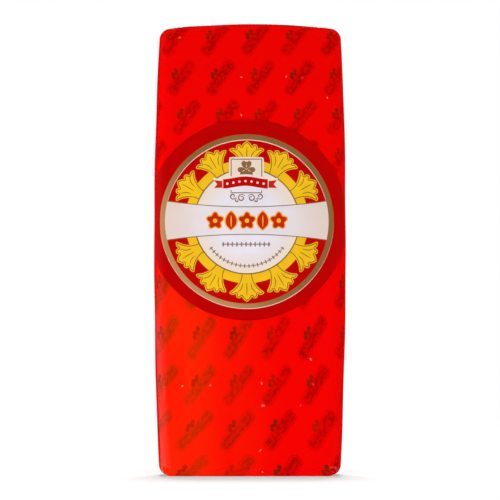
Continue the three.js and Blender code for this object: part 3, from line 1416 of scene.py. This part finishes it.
@dataclass
class RoundLabel:
    """The paper label, laid on the front and wrapped round both front edges."""

    form: BlockForm
    relief: FilmRelief
    art: LabelArt
    middle: tuple[float, float]
    clearance: float = 0.12 * MM
    thickness: float = 0.14 * MM
    net_mm: float = 2.0
    rim_lift: float = 0.18 * MM

    @classmethod
    def from_frame(
        cls, form: BlockForm, relief: FilmRelief, art: LabelArt, along: float, rise: float
    ) -> RoundLabel:
        """Takes the label's height from the frame.

        Args:
            form: The block's form.
            relief: The film's relief, which the label follows.
            art: The label's print.
            along: Where the label's middle lies along the wall from the middle of the front.
            rise: How far over the middle of the frame's label it sits.

        Returns:
            The label.
        """
        low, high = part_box("round_label")
        return cls(form, relief, art, (along, (low.z + high.z) / 2 + rise))

    def lay_on(self, flat: Points, off: float) -> Points:
        """Lays the flat label on the block. Its rim stands off a little here and there.

        Args:
            flat: Points of the flat label, in millimetres from its middle.
            off: How far off the film they lie.

        Returns:
            The points in the row frame.
        """
        z = self.middle[1] + flat[:, 1] * MM
        along = (self.middle[0] + flat[:, 0] * MM) / self.form.girth_share(z)
        z = z + self.form.fall(along, self.form.depth / 2, z)
        on_film = self.form.wall_point(along, np.zeros(len(flat)), z)
        outward = self.form.wall_point(along, np.ones(len(flat)), z) - on_film
        reach = np.hypot(flat[:, 0], flat[:, 1])
        turn = np.arctan2(flat[:, 1], flat[:, 0])
        at_rim = fade(reach, self.art.radius - 2.5, self.art.radius)
        loose = self.rim_lift * at_rim * (0.5 + 0.5 * np.sin(5 * turn + 1))
        lift = self.relief.height(on_film, outward) + off + loose
        return self.form.bulge(self.form.wall_point(along, lift, z))

    def net(self) -> Points:
        """Points that let the label bend: a net over it, closer to each other than its creases.

        Returns:
            The points, in millimetres from the label's middle.
        """
        reach = self.art.radius
        count = int(2 * reach / self.net_mm)
        line = np.linspace(-reach, reach, count)
        x, y = np.meshgrid(line, line)
        x[1::2] += self.net_mm / 2
        inside = np.hypot(x, y) < reach - 0.6 * self.net_mm
        return np.stack([x[inside], y[inside]], axis=1)

    def triangulate(self) -> tuple[Points, list, list[Ink]]:
        """Cuts the disc into triangles along every outline of the art.

        Returns:
            The flat points, the triangles, and each triangle's ink.
        """
        points: list[Vector] = []
        outlines: list[list[int]] = []
        for _, outline in self.art.layers:
            outlines.append(list(range(len(points), len(points) + len(outline))))
            points += [Vector(p) for p in outline]
        points += [Vector(p) for p in self.net()]
        found = delaunay_2d_cdt(points, [], outlines, 0, 1e-5, True)
        flat = np.array([tuple(p) for p in found[0]])
        inks = [self.art.layers[max(owners)][0] if owners else Ink.DARK_RED for owners in found[5]]
        return flat, found[2], inks

    def normals(self, flat: Points) -> Points:
        """Outward normals of the laid label, so that the cuts between its inks don't show.

        Args:
            flat: Points of the flat label, in millimetres from its middle.

        Returns:
            Unit vectors.
        """
        step = 0.2
        west, east = (self.lay_on(flat + (way * step, 0), self.thickness) for way in (-1, 1))
        south, north = (self.lay_on(flat + (0, way * step), self.thickness) for way in (-1, 1))
        normal = np.cross(east - west, north - south)
        return normal / np.linalg.norm(normal, axis=1, keepdims=True)

    def build(self) -> bpy.types.Object:
        """Builds and dresses the label.

        Returns:
            The piece.
        """
        flat, triangles, inks = self.triangulate()
        count = len(flat)
        front = self.lay_on(flat, self.clearance + self.thickness)
        back = self.lay_on(flat, self.clearance)
        edges = [(a, b) for corners in triangles for a, b in zip(corners, corners[1:] + corners[:1])]
        known = set(edges)
        rim = [(a, b) for a, b in edges if (b, a) not in known]
        faces = list(triangles)
        faces += [[i + count for i in reversed(corners)] for corners in triangles]
        faces += [[b, a, a + count, b + count] for a, b in rim]
        made = make_piece("round_label_print", np.concatenate([front, back]), faces)
        for ink in Ink:
            made.data.materials.append(INK_FINISHES[ink].make())
        slots = [ink.value for ink in inks]
        slots += [Ink.WHITE.value] * (len(triangles) + len(rim))
        made.data.polygons.foreach_set("material_index", slots)
        normal = self.normals(flat)
        made.data.normals_split_custom_set_from_vertices(np.concatenate([normal, -normal]).tolist())
        square = np.concatenate([flat, flat]) / (2.1 * self.art.radius) + 0.5
        square[:count] *= 0.95
        square[count:] = 0.96 + 0.03 * square[count:]
        corner_points = [i for face in faces for i in face]
        set_uv(made, "OFBake", square[corner_points])
        adopt(made, "round_label")
        return made


# ---------------------------------------------------------------------------------------------------
# Studio


@dataclass(frozen=True)
class MatteFloor:
    """Painted board, rolled matte, with soft shadows and no mirror image.

    It is lit from below as well, as a table for catalogue pictures is, so its shadows stay pale.
    """

    paint: str = "#A9A9A7"
    grain_mm: float = 2.0
    glow: float = 0.4

    def make(self) -> bpy.types.Material:
        """Makes the material.

        Returns:
            The material.
        """
        material, sheet = new_material("matte_floor")
        where = sheet.tree.nodes.new("ShaderNodeTexCoord").outputs["Object"]
        grain = sheet.add("TexNoise", where, named={"Scale": per_metre(self.grain_mm)})
        bump = sheet.add("Bump", named={"Height": grain, "Distance": 0.02 * MM, "Strength": 0.3})
        sheet.add("OutputMaterial", sheet.add(
            "BsdfPrincipled",
            named={
                "Base Color": srgb(self.paint), "Roughness": 0.9, "Specular IOR Level": 0.1,
                "Normal": bump, "Emission Color": (1.0, 1.0, 1.0, 1.0), "Emission Strength": self.glow,
            },
        ))
        return material


class Shines(Enum):
    """How a softbox shows on the block."""

    SOFTLY = "lights it but isn't mirrored in it"
    MIRRORED = "is only mirrored in it"


@dataclass
class Studio:
    """A pale floor, softboxes, cards of light, white surroundings and the camera.

    The block and the floor are lit apart: the floor burns out to white, with a soft shadow along the
    foot of the block. The cards only show as reflections in the film: the strips in its left front
    edge, and the low ones where it is seen from the side or from above.
    """

    form: BlockForm
    camera_distance: float = 9.0
    crest_behind_front: float = 30 * MM
    pixels_high: float = 452.1
    image_side: float = 500.0
    sensor_mm: float = 36.0
    floor_half: float = 3.0
    left_front_edge: tuple[float, float] = (-0.055, -0.04)
    room_light: float = 0.02
    room_gloss: tuple[float, float, float, float] = (0.5, 0.004, 0.004, 1.0)

    def floor(self) -> bpy.types.Object:
        """Lays the floor, which isn't mirrored in the film and throws nothing on it.

        Returns:
            The floor.
        """
        corners = np.array([(-1, -1, 0), (1, -1, 0), (1, 1, 0), (-1, 1, 0)]) * self.floor_half
        made = make_piece("floor", corners, [[0, 1, 2, 3]], smooth_faces=False)
        made.data.materials.append(MatteFloor().make())
        for kind in ("visible_diffuse", "visible_glossy", "visible_shadow"):
            setattr(made, kind, False)
        return made

    def share_light(self, light: bpy.types.Object, floor: bpy.types.Object, on_floor: bool) -> None:
        """Gives a light to the floor alone, or to everything but the floor.

        Args:
            light: The light.
            floor: The floor.
            on_floor: Whether it lights the floor alone.
        """
        group = bpy.data.collections.new(light.name + "_share")
        group.objects.link(floor)
        light.light_linking.receiver_collection = group
        if not on_floor:
            group.collection_objects[0].light_linking.link_state = "EXCLUDE"

    def floor_light(
        self, name: str, tilt: float, spread: float, radiance: float, floor: bpy.types.Object
    ) -> None:
        """Hangs a wide light over the floor.

        Args:
            name: The light's name.
            tilt: Degrees from the zenith, towards the back where negative.
            spread: How many degrees it spans.
            radiance: How bright it makes the floor, where 1 is white.
            floor: The floor.
        """
        light = bpy.data.lights.new(name, "SUN")
        paint = srgb(MatteFloor().paint)[0]
        light.energy = radiance * math.pi / paint / math.cos(math.radians(tilt))
        light.angle = math.radians(spread)
        made = bpy.data.objects.new(name, light)
        made.rotation_euler = (math.radians(tilt), 0, 0)
        bpy.context.scene.collection.objects.link(made)
        self.share_light(made, floor, on_floor=True)

    def fill(
        self, name: str, heading: tuple[float, float, float], radiance: float, floor: bpy.types.Object
    ) -> None:
        """Surrounds the block with a quarter of a white tent on one side, too soft to be mirrored.

        Args:
            name: The light's name.
            heading: The side on which it stands.
            radiance: How bright it makes a white wall that faces it.
            floor: The floor.
        """
        light = bpy.data.lights.new(name, "SUN")
        light.energy = radiance * math.pi
        light.angle = math.radians(90)
        light.cycles.use_multiple_importance_sampling = False
        made = bpy.data.objects.new(name, light)
        made.rotation_euler = Vector(heading).to_track_quat("Z", "Y").to_euler()
        made.visible_glossy = False
        bpy.context.scene.collection.objects.link(made)
        self.share_light(made, floor, on_floor=False)

    def softbox(
        self, name: str, place: tuple[float, float, float], size: tuple[float, float], watts: float,
        shines: Shines, floor: bpy.types.Object,
    ) -> None:
        """Hangs a rectangular softbox that faces the middle of the block.

        Args:
            name: The light's name.
            place: Where it hangs.
            size: Its width and height.
            watts: Its power.
            shines: How it shows on the block.
            floor: The floor.
        """
        light = bpy.data.lights.new(name, "AREA")
        light.shape = "RECTANGLE"
        light.size, light.size_y = size
        light.energy = watts
        light.cycles.use_multiple_importance_sampling = shines is Shines.MIRRORED
        made = bpy.data.objects.new(name, light)
        made.location = place
        aim = Vector((0, 0, self.form.height / 2)) - Vector(place)
        made.rotation_euler = aim.to_track_quat("-Z", "Y").to_euler()
        made.visible_camera = False
        made.visible_glossy = shines is Shines.MIRRORED
        made.visible_diffuse = shines is Shines.SOFTLY
        bpy.context.scene.collection.objects.link(made)
        self.share_light(made, floor, on_floor=False)

    def card(
        self, name: str, turn: float, place: tuple[float, float], size: tuple[float, float],
        radiance: float, floor: bpy.types.Object,
    ) -> None:
        """Stands a softbox that is only mirrored on a ring round the block's left front edge.

        Args:
            name: The light's name.
            turn: Degrees round the ring, from the front towards the left.
            place: How far out it stands, and how high.
            size: Its width and height.
            radiance: How bright it looks, where 1 is white.
            floor: The floor.
        """
        around = math.radians(turn)
        out, rise = place
        x = self.left_front_edge[0] - out * math.sin(around)
        y = self.left_front_edge[1] - out * math.cos(around)
        watts = radiance * math.pi * size[0] * size[1]
        self.softbox(name, (x, y, rise), size, watts, Shines.MIRRORED, floor)

    def surroundings(self) -> None:
        """White where the camera looks, and a dim room that the film mirrors in its own red."""
        world = bpy.data.worlds.new("studio")
        world.use_nodes = True
        world.cycles.sampling_method = "NONE"
        bpy.context.scene.world = world
        sheet = NodeSheet(world.node_tree)
        path = sheet.tree.nodes.new("ShaderNodeLightPath").outputs
        dim = (self.room_light,) * 3 + (1.0,)
        room = sheet.add("Mix", path["Is Glossy Ray"], dim, self.room_gloss, data_type="RGBA")
        seen = sheet.add("Mix", path["Is Camera Ray"], room, (1.0, 1.0, 1.0, 1.0), data_type="RGBA")
        sheet.add("OutputWorld", sheet.add("Background", seen, 1.0))

    def camera(self) -> None:
        """Sets the camera level with the middle of the block, on a long lens."""
        lens = bpy.data.cameras.new("camera")
        foot = self.camera_distance + self.form.edge_radius
        crest = self.camera_distance + self.crest_behind_front
        pixels = 2 * self.pixels_high / self.form.height / (1 / foot + 1 / crest)
        lens.sensor_width = self.sensor_mm
        lens.lens = self.sensor_mm * pixels / self.image_side
        lens.clip_end = 100
        made = bpy.data.objects.new("camera", lens)
        made.location = (0, -self.camera_distance - self.form.depth / 2, self.form.height / 2)
        made.rotation_euler = (math.pi / 2, 0, 0)
        bpy.context.scene.collection.objects.link(made)
        bpy.context.scene.camera = made

    def build(self, pieces: list[bpy.types.Object]) -> None:
        """Sets up everything round the pieces, whose red isn't thrown on the floor.

        Args:
            pieces: The finished pieces.
        """
        floor = self.floor()
        for tilt, radiance in ((-14, 0.1), (-24, 0.12), (-33, 0.12), (-42, 0.1), (35, 0.17)):
            self.floor_light("floor_light_%d" % tilt, tilt, 12, radiance, floor)
        for side, heading, radiance in (
            ("front", (0, -1, 0.1), 0.16), ("left", (-1, 0, 0), 0.62), ("right", (1, 0, 0), 0.62),
            ("back", (0, 1, 0.2), 0.5), ("above", (0, 0, 1), 0.62), ("below", (0, 0, -1), 0.45),
        ):
            self.fill("fill_" + side, heading, radiance, floor)
        self.softbox("softbox_key", (-0.9, -1.9, 0.15), (1.2, 1.2), 6.8, Shines.SOFTLY, floor)
        self.softbox("softbox_low", (-0.14, -0.5, -0.04), (0.6, 0.3), 0.98, Shines.SOFTLY, floor)
        for turn, half_span, radiance in ((33, 11, 0.2), (57, 13, 0.4), (95, 25, 0.55), (140, 20, 0.2)):
            size = (2 * math.tan(math.radians(half_span)), 0.3)
            self.card("strip_%d" % turn, turn, (1.0, -0.045), size, radiance, floor)
        for turn in (45, 135, 225, 315):
            self.card("low_card_%d" % turn, turn, (1.4, -0.45), (0.7, 0.4), 0.7, floor)
        for turn in (78, 102, 168, 192, 258, 282):
            self.card("low_strip_%d" % turn, turn, (1.2, -0.3), (0.07, 0.36), 2.4, floor)
        for piece in pieces:
            piece.visible_diffuse = False
        self.surroundings()
        self.camera()
        bpy.context.scene.view_settings.view_transform = "Standard"
        log.info("studio: floor, lights, surroundings and camera")


def main() -> None:
    """Builds the pieces from the inside out, then the studio, and logs each piece's face count."""
    logging.basicConfig(level=logging.INFO, format="%(name)s: %(message)s")
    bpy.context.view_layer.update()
    form = BlockForm.from_frame(skin=0.7 * MM, slack=0.45 * MM)
    relief = FilmRelief(form, tail_half=48 * MM, tail_y=10 * MM)
    lattice = PrintLattice(form)
    film = PrintedShrinkFilm().make()
    pieces = [
        CheeseBlock(form, PressedCheese()).build(),
        ShrinkBag(form, relief, lattice).build(film),
        BagTail(form, relief, lattice).build(film),
        RoundLabel.from_frame(form, relief, LabelArt(), along=-2.1 * MM, rise=1.5 * MM).build(),
    ]
    Studio(form).build(pieces)


if __name__ == "__main__":
    main()
